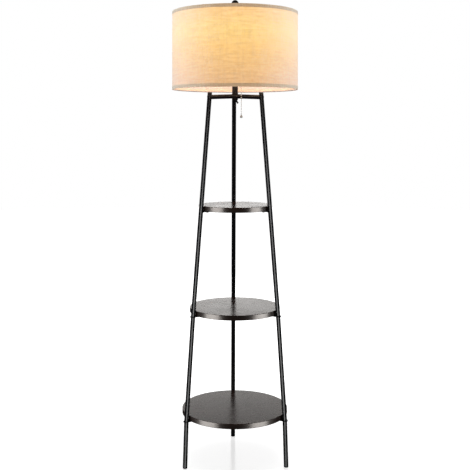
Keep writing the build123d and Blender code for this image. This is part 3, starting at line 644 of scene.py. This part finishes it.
def repeated(piece, places):
    """A copy of a finished piece at each place, each with its own mesh, joined into one object."""
    copies = []
    for place in places:
        pick(piece)
        bpy.ops.object.duplicate()
        copy = bpy.context.selected_objects[0]
        copy.matrix_world = place
        copies.append(settle(copy))
    name = piece.name
    bpy.data.objects.remove(piece)
    return joined(name, copies)


def cut(piece, cutter):
    """Takes the cutter's shape out of a piece, and deletes the cutter."""
    modified(piece, "BOOLEAN", object=cutter, operation="DIFFERENCE", solver="EXACT")
    bpy.data.objects.remove(cutter)


def finished(piece, material, body):
    """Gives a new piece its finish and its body."""
    piece.data.materials.clear()
    piece.data.materials.append(material)
    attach(piece, body)
    return piece


# ---- places, read from the frame
def tube_radius():
    """Outside radius of the tubes, which are all of one size."""
    low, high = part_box("lower_leg_back")
    return (high.x - low.x) / 2


def corners(node):
    """The vertices of a CAD node."""
    return [vertex.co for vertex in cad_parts[node].data.vertices]


def middle(points):
    """Centre of the box round some points."""
    return Vector([(min(axis) + max(axis)) / 2 for axis in zip(*points)])


def reach(point):
    """Distance from the lamp's axis."""
    return math.hypot(point.x, point.y)


def level(turn):
    """Level direction at an angle from +X."""
    return Vector((math.cos(turn), math.sin(turn), 0))


def outwards(leg):
    """Level direction from the lamp's axis to a leg."""
    return level(math.radians(BEARINGS[leg]))


def on_leg(node, leg):
    """The points of a node that belong to one leg's copy, within 26 degrees of its bearing."""
    return [point for point in corners(node) if point.xy.normalized().dot(outwards(leg).xy) > 0.9]


def centre_line(node, along, depth):
    """Centre of a tube's near end and its direction, from the points within some depth of both ends."""
    points = corners(node)
    near, far = min(map(along, points)), max(map(along, points))
    root = middle([point for point in points if along(point) < near + depth])
    tip = middle([point for point in points if along(point) > far - depth])
    return root, (tip - root).normalized()


def arm_line(leg):
    """Centre of an arm's root at the hub, and its direction outwards."""
    return centre_line(f"arm_{leg}", reach, 3 * MM)


def leg_line(leg):
    """Lower end of an upper leg's centre line, and its direction upwards."""
    return centre_line(f"upper_leg_{leg}", lambda point: point.z, 1 * MM)


def place_with(origin, *axes):
    """The matrix of a place from its X, Y and Z."""
    return Matrix.Translation(origin) @ Matrix(axes).transposed().to_4x4()


def facing(origin, out, up=UP):
    """Place whose Z is out and whose X is across it."""
    across = up.cross(out).normalized()
    return place_with(origin, across, out.cross(across), out)


# ---- pieces
class LAMP_OT_stage(bpy.types.Operator):
    """Camera at the photograph's place, pale floor, softboxes and a white surround"""

    bl_idname = "lamp.stage"
    bl_label = "Studio"

    def execute(self, context):
        studio = context.scene.lamp_studio
        context.scene.view_settings.view_transform = "Standard"
        camera = bpy.data.cameras.new("camera")
        holder = bpy.data.objects.new("camera", camera)
        context.scene.collection.objects.link(holder)
        away = Vector((-math.sin(studio.bearing), -math.cos(studio.bearing), 0)) * studio.distance
        holder.location = away + UP * studio.height
        holder.rotation_euler = (math.pi / 2, studio.roll, -studio.bearing)
        camera.lens = studio.lens
        camera.sensor_width = SENSOR
        camera.shift_y = studio.rise
        context.scene.camera = holder
        floor = self.floor(studio)
        self.surround(context.scene)
        all_but_floor = bpy.data.collections.new("all_but_floor")
        all_but_floor.objects.link(floor)
        all_but_floor.collection_objects[0].light_linking.link_state = "EXCLUDE"
        for name, bearing in (("softbox_left", -100), ("softbox_right", 100)):
            stand = self.softbox(name, bearing, studio.side_light, (0.6, 1.4), distance=2.0, height=1.3)
            stand.data.color = studio.side_colour
            stand.light_linking.receiver_collection = all_but_floor
        self.softbox("softbox_over", 0, studio.overhead, (2.2, 2.2), distance=0.01, height=3.2)
        for shelf, share in zip(SHELVES, (0.65, 1.0, 1.12)):
            wall = self.mirrored(f"{shelf}_wall", share * studio.wall, [shelf], height=0.7, tall=1.4)
            wall.data.color = studio.wall_colour
        wall = self.mirrored("floor_wall", 0.46 * studio.wall, [], height=1.4, tall=2.6)
        wall.light_linking.receiver_collection.objects.link(floor)
        front = [leg for leg in on_legs("lower_leg", "middle_leg", "upper_leg") if "back" not in leg]
        for name, bearing, width, brightness, nodes in (
            ("strip_left", -60.5, 39, studio.strips, SHELVES),
            ("strip_right", 67.5, 37, studio.strips, SHELVES[1:]),
            ("strip_right_low", 51.5, 37, studio.strips, SHELVES[:1]),
            ("front_screen", -2, 40, studio.front, [*front, "hanging_chain", "chain_pull"]),
        ):
            self.mirrored(name, brightness, nodes, bearing, width)
        return {"FINISHED"}

    def floor(self, studio):
        """Pale satin floor with a painted shade under the lamp, where its own glow is weaker, and a faint
        image of its legs.
        """
        deselect()
        bpy.ops.mesh.primitive_circle_add(
            vertices=96, radius=9, fill_type="NGON", location=(0, 0, -0.5 * MM)
        )
        floor = settle(named("floor"))
        w = Finish("pale_floor")
        place = w.coordinates()
        soft = w.noise(place, 3.0)
        w.surface("Base Color", w.blend(soft, (0.8, 0.8, 0.8), (0.82, 0.82, 0.82)))
        w.surface("Roughness", w.remap(soft, 0.3, 0.7, 0.13, 0.15))
        # Painted shade: the floor's own glow rises from 0.3 m to 1.2 m out from the lamp's axis, so it is
        # darker under the lamp.
        spread = w.add("ShaderNodeVectorMath", place, operation="LENGTH")
        own = w.remap(spread.outputs["Value"], 0.3, 1.2, studio.floor, studio.floor + 0.5)
        path = w.add("ShaderNodeLightPath")
        w.surface("Emission Color", (1, 1, 1, 1))
        w.surface("Emission Strength", w.times(path.outputs["Is Camera Ray"], own))
        clear = w.add("ShaderNodeBsdfTransparent").outputs[0]
        choice = w.add("ShaderNodeMixShader", path.outputs["Is Glossy Ray"], w.shader.outputs[0], clear)
        w.feed(w.tree.nodes["Material Output"].inputs["Surface"], choice.outputs[0])
        floor.data.materials.append(w.material)
        floor.visible_shadow = False
        return floor

    def surround(self, scene):
        """White for the camera, dim for everything else."""
        world = bpy.data.worlds.new("surround")
        scene.world = world
        world.use_nodes = True
        w = Wiring(world.node_tree)
        background = world.node_tree.nodes["Background"]
        path = w.add("ShaderNodeLightPath")
        fill = w.blend(path.outputs["Is Glossy Ray"], FILL, GLOSS_FILL, kind="FLOAT")
        strength = w.blend(path.outputs["Is Camera Ray"], fill, 1.0, kind="FLOAT")
        w.feed(background.inputs["Strength"], strength)
        background.inputs["Color"].default_value = (1, 1, 1, 1)

    def softbox(self, name, bearing, power, size, distance, height):
        """Area light at a bearing from the camera's side, facing the lamp's axis or down."""
        light = bpy.data.lights.new(name, "AREA")
        light.shape = "RECTANGLE"
        light.size, light.size_y = size
        light.energy = power
        stand = bpy.data.objects.new(name, light)
        bpy.context.scene.collection.objects.link(stand)
        turn = math.radians(bearing)
        stand.location = (distance * math.sin(turn), -distance * math.cos(turn), height)
        aim = Vector((0, 0, height if distance > 0.1 else 0)) - stand.location
        stand.rotation_euler = aim.to_track_quat("-Z", "Y").to_euler()
        stand.visible_glossy = False
        return stand

    def mirrored(self, name, brightness, nodes, bearing=180, width=54, height=-0.3, tall=3.2):
        """Screen that only the gloss of the named nodes shows; its width is an angle, in degrees."""
        distance = 4.0
        across = 2 * distance * math.tan(math.radians(width / 2))
        power = brightness * across * tall * math.pi
        stand = self.softbox(name, bearing, power, (across, tall), distance, height)
        stand.visible_glossy = True
        stand.visible_diffuse = stand.visible_camera = False
        shown_on = bpy.data.collections.new(name + "_shows_on")
        for node in nodes:
            shown_on.objects.link(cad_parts[node])
        stand.light_linking.receiver_collection = shown_on
        return stand


class LAMP_OT_steelwork(bpy.types.Operator):
    """Powder coat on the tubes, arms, tabs, lugs and hub; caps, plugs and hidden fasteners"""

    bl_idname = "lamp.steelwork"
    bl_label = "Steelwork"

    def execute(self, context):
        finishes = context.scene.lamp_finishes
        coat = coated("black_steel", finishes.steel, 0.23, 900.0, 0.04)
        dress(coat, *on_legs("lower_leg", "middle_leg", "upper_leg", "arm", "low_tab", "mid_tab"))
        dress(coat, "top_shelf_lugs", "hub_tube", "hub_bottom_cap", "hub_top_cap")
        dress(moulded("foot_plastic", (0.012, 0.012, 0.012), 0.5), *on_legs("foot_cap"), "leg_top_plugs")
        dress(moulded("outlet_rubber", (0.011, 0.011, 0.012), 0.6), "cord_outlet")
        zinc = plated("zinc_steel", (0.6, 0.6, 0.58), 0.3)
        dress(zinc, "leg_inserts", "leg_studs", "arm_plugs", "nipple", "lock_nut")
        dress(coated("finial_black", (0.01, 0.009, 0.009), 0.26, 1200.0, peel=0.05), "finial")
        return {"FINISHED"}


class LAMP_OT_screws(bpy.types.Operator):
    """Cross-recessed screws under the shelves and low socket screws that hold the arms"""

    bl_idname = "lamp.screws"
    bl_label = "Screws"

    def execute(self, context):
        black = coated("screw_oxide", (0.012, 0.012, 0.012), 0.3, 1500.0)
        screw = self.turned_screw("shelf_screw_set", *SHELF_SCREW)
        for turn in (0, 90):
            cut(screw, self.slot_cutter(turn))
        places = [self.shelf_seat(shelf, leg) for shelf in SHELVES for leg in BEARINGS]
        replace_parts(finished(repeated(screw, places), black, "stand"), "shelf_screws")

        screw = self.turned_screw("arm_screw_set", *ARM_SCREW)
        cut(screw, self.socket_cutter())
        self.saddle(screw)
        places = [self.arm_seat(leg) for leg in BEARINGS]
        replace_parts(finished(repeated(screw, places), black, "stand"), "arm_screws")
        return {"FINISHED"}

    def turned_screw(self, name, head, shank):
        """Screw on Z with its head's seat at 0 and a low domed head; sizes in millimetres."""
        (head_r, head_h), (shank_r, length) = head, shank
        narrower, tip = 0.6, 0.8
        points = [(0, -length), (shank_r - narrower, -length), (shank_r, tip - length), (shank_r, 0)]
        dome = (1, 0), (1, 0.4), (0.93, 0.7), (0.75, 0.9), (0.4, 1), (0, 1)
        points += [(head_r * across, head_h * up) for across, up in dome]
        moves = [((x2 - x1) * MM, 0, (z2 - z1) * MM) for (x1, z1), (x2, z2) in zip(points, points[1:])]
        piece = draw_profile(name, (0, 0, -length * MM), moves)
        spin_all(28)
        smooth(piece, 40)
        return piece

    def slot_cutter(self, turn):
        """One bar of the cross recess."""
        deselect()
        place, turned = (0, 0, CROSS_BAR_Z), (0, 0, math.radians(turn))
        bpy.ops.mesh.primitive_cube_add(size=1, location=place, rotation=turned)
        cutter = named("cutter")
        cutter.scale = CROSS_BAR
        return settle(cutter)

    def socket_cutter(self):
        """Six-sided bar of the hex socket."""
        deselect()
        place = (0, 0, SOCKET_Z)
        bpy.ops.mesh.primitive_cylinder_add(
            vertices=6, radius=SOCKET_RADIUS, depth=SOCKET_DEPTH, location=place
        )
        return settle(named("cutter"))

    def saddle(self, piece):
        """Lets a head follow the round tube that it sits on; the shank, below 0, stays as it is."""
        tube = tube_radius()
        for vertex in piece.data.vertices:
            if vertex.co.z > -0.01 * MM:
                vertex.co.z -= tube - math.sqrt(tube**2 - vertex.co.x**2)

    def shelf_seat(self, shelf, leg):
        """Seat of a screw's head under a shelf, its head down."""
        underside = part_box(shelf)[0].z
        near = 30 * MM  # farther than a screw reaches, and not as far as the next shelf's
        points = [point for point in on_leg("shelf_screws", leg) if abs(point.z - underside) < near]
        seat = middle(points)
        seat.z = min(point.z for point in points) + CAD_SHELF_HEAD
        return facing(seat, -UP, outwards(leg))

    def arm_seat(self, leg):
        """Seat of an arm's screw on the far side of its leg, its head outwards."""
        root, out = arm_line(leg)
        far = max((point - root).dot(out) for point in on_leg("arm_screws", leg))
        return facing(root + out * (far - CAD_ARM_HEAD), out)


class LAMP_OT_welds(bpy.types.Operator):
    """Weld beads of the arms on the hub, of the lugs on the upper legs, and of the shade's wires"""

    bl_idname = "lamp.welds"
    bl_label = "Welds"

    def execute(self, context):
        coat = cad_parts["hub_tube"].material_slots[0].material
        beads = (self.arm_bead("arm_welds"), self.arm_place), (self.lug_bead("lug_welds"), self.lug_place)
        for bead, place in beads:
            finished(repeated(bead, [place(leg) for leg in BEARINGS]), coat, "stand")
        nuggets = repeated(self.nugget("spider_welds"), self.nugget_places())
        finished(nuggets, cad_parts["spider"].material_slots[0].material, "shade")
        return {"FINISHED"}

    def ring(self, name, radius, thick):
        """Rippled ring on Z, as a weld bead is laid drop by drop."""
        deselect()
        bpy.ops.mesh.primitive_torus_add(
            major_radius=radius, minor_radius=thick, major_segments=96, minor_segments=10
        )
        piece = named(name)
        for vertex in piece.data.vertices:
            centre = Vector((*vertex.co.xy, 0)).normalized() * radius
            bearing = math.atan2(centre.y, centre.x)
            drop = 1 + 0.13 * math.sin(24 * bearing) + 0.05 * math.sin(7 * bearing + 1)
            vertex.co = centre + (vertex.co - centre) * drop
        return piece

    def arm_bead(self, name):
        """Ring round an arm that follows the hub's round wall; its Z is the arm's centre line."""
        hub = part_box("hub_tube")[1].x
        piece = self.ring(name, tube_radius(), thick=1.1 * MM)
        for vertex in piece.data.vertices:
            across = max(-hub, min(hub, vertex.co.x))
            vertex.co.z += math.sqrt(hub**2 - across**2)
        smooth(piece, 60)
        return piece

    def arm_place(self, leg):
        """The lamp's axis at an arm's height, looking out along the arm."""
        root, out = arm_line(leg)
        axis = root - out * (reach(root) / math.hypot(out.x, out.y))
        return facing(axis, out)

    def lug_bead(self, name):
        """Bead under a lug, round the side of the leg that faces the lamp's axis (its X)."""
        piece, half = self.ring(name, tube_radius(), thick=1.0 * MM), math.radians(52)
        bpy.ops.object.mode_set(mode="EDIT")
        bpy.ops.mesh.select_mode(type="VERT")
        bpy.ops.mesh.select_all(action="DESELECT")
        bpy.ops.object.mode_set(mode="OBJECT")
        for vertex in piece.data.vertices:
            vertex.select = abs(math.atan2(vertex.co.y, vertex.co.x)) > half
        bpy.ops.object.mode_set(mode="EDIT")
        bpy.ops.mesh.delete(type="VERT")
        bpy.ops.mesh.select_all(action="SELECT")
        bpy.ops.mesh.fill_holes(sides=0)
        bpy.ops.mesh.normals_make_consistent(inside=False)
        bpy.ops.object.mode_set(mode="OBJECT")
        smooth(piece, 60)
        return piece

    def lug_place(self, leg):
        """Where a leg passes the underside of its lug, the bead's X towards the lamp's axis."""
        foot, up = leg_line(leg)
        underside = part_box("top_shelf_lugs")[0].z
        centre = foot + up * ((underside - foot.z) / up.z)
        inwards = -outwards(leg)
        inwards = (inwards - up * inwards.dot(up)).normalized()
        return place_with(centre, inwards, up.cross(inwards), up)

    def nugget(self, name):
        """Flattened uneven drop of weld, its Z up."""
        deselect()
        bpy.ops.mesh.primitive_uv_sphere_add(segments=20, ring_count=12, radius=2.3 * MM)
        piece = named(name)
        for vertex in piece.data.vertices:
            bearing = math.atan2(vertex.co.y, vertex.co.x)
            swell = 1 + 0.08 * math.sin(3 * bearing + 0.5) + 0.04 * math.sin(7 * bearing)
            vertex.co.x *= 1.35 * swell
            vertex.co.y *= swell
            vertex.co.z *= 0.85
        smooth(piece, 60)
        return piece

    def nugget_places(self):
        """Where each spoke meets the shade's top ring, and where it meets the flat hub."""
        low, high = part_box("bottom_ring")
        wire = high.z - low.z
        ring = high.x - wire / 2
        ring_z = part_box("spider")[1].z - wire / 2
        hub_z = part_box("spider")[0].z + wire / 2
        ends = (ring, 0, ring_z), (SPOKE_ROOT, 0, hub_z)
        turns = [Matrix.Rotation(math.radians(bearing), 4, "Z") for bearing in BEARINGS.values()]
        return [turn @ Matrix.Translation(end) for turn in turns for end in ends]


class LAMP_OT_shelves(bpy.types.Operator):
    """Dark laminate on the three round shelves"""

    bl_idname = "lamp.shelves"
    bl_label = "Shelves"

    def execute(self, context):
        dress(espresso_board(context.scene.lamp_finishes), *SHELVES)
        return {"FINISHED"}


class LAMP_OT_holder(bpy.types.Operator):
    """Lamp holder, its switch body and contacts, and the bead chain"""

    bl_idname = "lamp.holder"
    bl_label = "Lamp holder and chain"

    def execute(self, context):
        finishes = context.scene.lamp_finishes
        dress(plated("holder_metal", finishes.brass, 0.28), "holder_cap", "holder_shell", "chain_guide")
        dress(moulded("switch_plastic", (0.02, 0.018, 0.016), 0.45), "switch_body")
        dress(plated("contact_brass", (0.75, 0.56, 0.27), 0.22), "screw_shell", "centre_contact")
        bright = plated("chain_nickel", finishes.nickel, 0.16, lines=0.02, tarnish=0.15)
        dress(bright, "chain_top", "chain_swivel", "hanging_chain")
        weight = plated("pull_nickel", tuple(0.6 * c for c in finishes.nickel), 0.3, tarnish=0.5)
        dress(weight, "chain_pull")
        dress(plated("bulb_cap_metal", (0.7, 0.69, 0.67), 0.25), "bulb_base")
        dress(frosted_bulb(), "bulb_glass")
        return {"FINISHED"}


class LAMP_OT_harp(bpy.types.Operator):
    """Harp, its saddle and ferrules, and the shade's wire frame"""

    bl_idname = "lamp.harp"
    bl_label = "Harp and wire frame"

    def execute(self, context):
        nickel = plated("harp_nickel", context.scene.lamp_finishes.nickel, 0.24)
        dress(nickel, "harp_saddle", "harp_wire", "harp_ferrules", "harp_stud")
        white = coated("white_wire", (0.62, 0.6, 0.56), 0.35, 1100.0, peel=0.08)
        dress(white, "spider", "bottom_ring")
        dress(shade_lining(), "shade_liner")
        return {"FINISHED"}


class LAMP_OT_hems(bpy.types.Operator):
    """Strip of linen folded over each rim of the shade"""

    bl_idname = "lamp.hems"
    bl_label = "Hems"

    def execute(self, context):
        cloth = context.scene.lamp_cloth
        finish = shade_hem(cloth)
        for name, node, upwards in (("top_hem", "top_trim", 1), ("bottom_hem", "bottom_trim", -1)):
            piece = self.fold(name, node, upwards, cloth)
            spin_all(cloth.steps)
            self.thicken(piece, node, upwards, cloth)
            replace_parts(finished(piece, finish, "shade"), node)
            lap = self.fold(name + "_end", node, upwards, cloth, lift=cloth.thickness)
            spin_all(8, angle=cloth.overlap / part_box(node)[1].x, closed=False)
            point_outwards(lap)
            self.thicken(lap, node, upwards, cloth)
            lap.rotation_euler.z = cloth.seam_bearing
            finished(settle(lap), finish, "shade")
        return {"FINISHED"}

    def fold(self, name, node, upwards, cloth, lift=0.0):
        """Outer wall, round fold and inner wall, drawn as one line; lift is how far it stands off."""
        low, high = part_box(node)
        wall = high.z - low.z + lift
        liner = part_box("shade_liner")[1].x
        outer = high.x - cloth.thickness / 2 + lift
        inner = liner - LINING - cloth.thickness / 2 - lift
        bend = (outer - inner) / 2
        start_z = low.z if upwards > 0 else high.z
        straight = (wall - bend - cloth.thickness / 2) * upwards
        rise = [(0, 0, straight / 4)] * 4
        arc = []
        for number in range(8):
            here, after = (math.pi * n / 8 for n in (number, number + 1))
            across, up = math.cos(after) - math.cos(here), math.sin(after) - math.sin(here)
            arc.append((bend * across, 0, upwards * bend * up))
        fall = [(0, 0, -straight / 4)] * 4
        return draw_profile(name, (outer, 0, start_z), rise + arc + fall)

    def thicken(self, piece, node, upwards, cloth):
        """The cut edge wanders a little, as a glued strip's does, and the strip gets its thickness."""
        low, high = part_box(node)
        edge_z = low.z if upwards > 0 else high.z
        for vertex in piece.data.vertices:
            nearness = 1 - min(1.0, abs(vertex.co.z - edge_z) / (0.5 * (high.z - low.z)))
            bearing = math.atan2(vertex.co.y, vertex.co.x)
            wander = math.sin(5 * bearing + 0.7) + 0.6 * math.sin(13 * bearing + 2.1)
            vertex.co.z += 0.14 * MM * wander * nearness
        modified(piece, "SOLIDIFY", thickness=cloth.thickness, offset=0.0)
        smooth(piece, 60)


class LAMP_OT_shade_cloth(bpy.types.Operator):
    """Linen rolled once round the lining, lapped over its own end behind the lamp"""

    bl_idname = "lamp.shade_cloth"
    bl_label = "Shade cloth"

    def execute(self, context):
        cloth = context.scene.lamp_cloth
        low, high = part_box("shade_fabric")
        radius = high.x - cloth.thickness / 2
        lap = cloth.overlap / radius
        start = level(cloth.seam_bearing) * radius + UP * low.z
        piece = draw_profile("shade_cloth", start, [(0, 0, high.z - low.z)])
        bpy.ops.mesh.select_all(action="SELECT")
        bpy.ops.mesh.subdivide(number_cuts=31)
        spin_all(cloth.steps, angle=2 * math.pi + lap, closed=False)
        self.lift_end(piece, cloth, lap)
        point_outwards(piece)
        modified(piece, "SOLIDIFY", thickness=cloth.thickness, offset=0.0)
        smooth(piece)
        finished(piece, shade_linen(context.scene.lamp_finishes, cloth), "shade")
        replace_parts(piece, "shade_fabric")
        return {"FINISHED"}

    def lift_end(self, piece, cloth, lap):
        """The last stretch of the turn rises by one thickness, to lie on the first."""
        lines = len(piece.data.vertices) // (cloth.steps + 1)
        step = (2 * math.pi + lap) / cloth.steps
        for number, vertex in enumerate(piece.data.vertices):
            column = number // lines
            past = column * step - (2 * math.pi - 1.5 * step)
            if past > 0:
                rise = cloth.thickness * min(1.0, past / (1.5 * step))
                out = Vector((*vertex.co.xy, 0)).normalized()
                vertex.co += out * rise


OPERATORS = (
    LAMP_OT_stage, LAMP_OT_steelwork, LAMP_OT_screws, LAMP_OT_shelves, LAMP_OT_holder,
    LAMP_OT_harp, LAMP_OT_welds, LAMP_OT_hems, LAMP_OT_shade_cloth,
)


class LAMP_PT_panel(bpy.types.Panel):
    """Lists the lamp's pieces and settings"""

    bl_idname = "LAMP_PT_panel"
    bl_label = "Shelf floor lamp"
    bl_space_type = "VIEW_3D"
    bl_region_type = "UI"
    bl_category = "Lamp"

    def draw(self, context):
        for operator in OPERATORS:
            self.layout.operator(operator.bl_idname, text=operator.bl_label)
        for name, group in SETTINGS.items():
            box = self.layout.box()
            for field in group.__annotations__:
                box.prop(getattr(context.scene, name), field)


SETTINGS = {"lamp_finishes": LampFinishes, "lamp_cloth": LampCloth, "lamp_studio": LampStudio}


def register():
    for item in (*SETTINGS.values(), *OPERATORS, LAMP_PT_panel):
        bpy.utils.register_class(item)
    for name, group in SETTINGS.items():
        setattr(bpy.types.Scene, name, PointerProperty(type=group))


def unregister():
    for name in SETTINGS:
        delattr(bpy.types.Scene, name)
    for item in (LAMP_PT_panel, *reversed(OPERATORS), *reversed(SETTINGS.values())):
        bpy.utils.unregister_class(item)


def main():
    register()
    for operator in OPERATORS:
        family, action = operator.bl_idname.split(".")
        getattr(getattr(bpy.ops, family), action)()


if __name__ == "__main__":
    main()
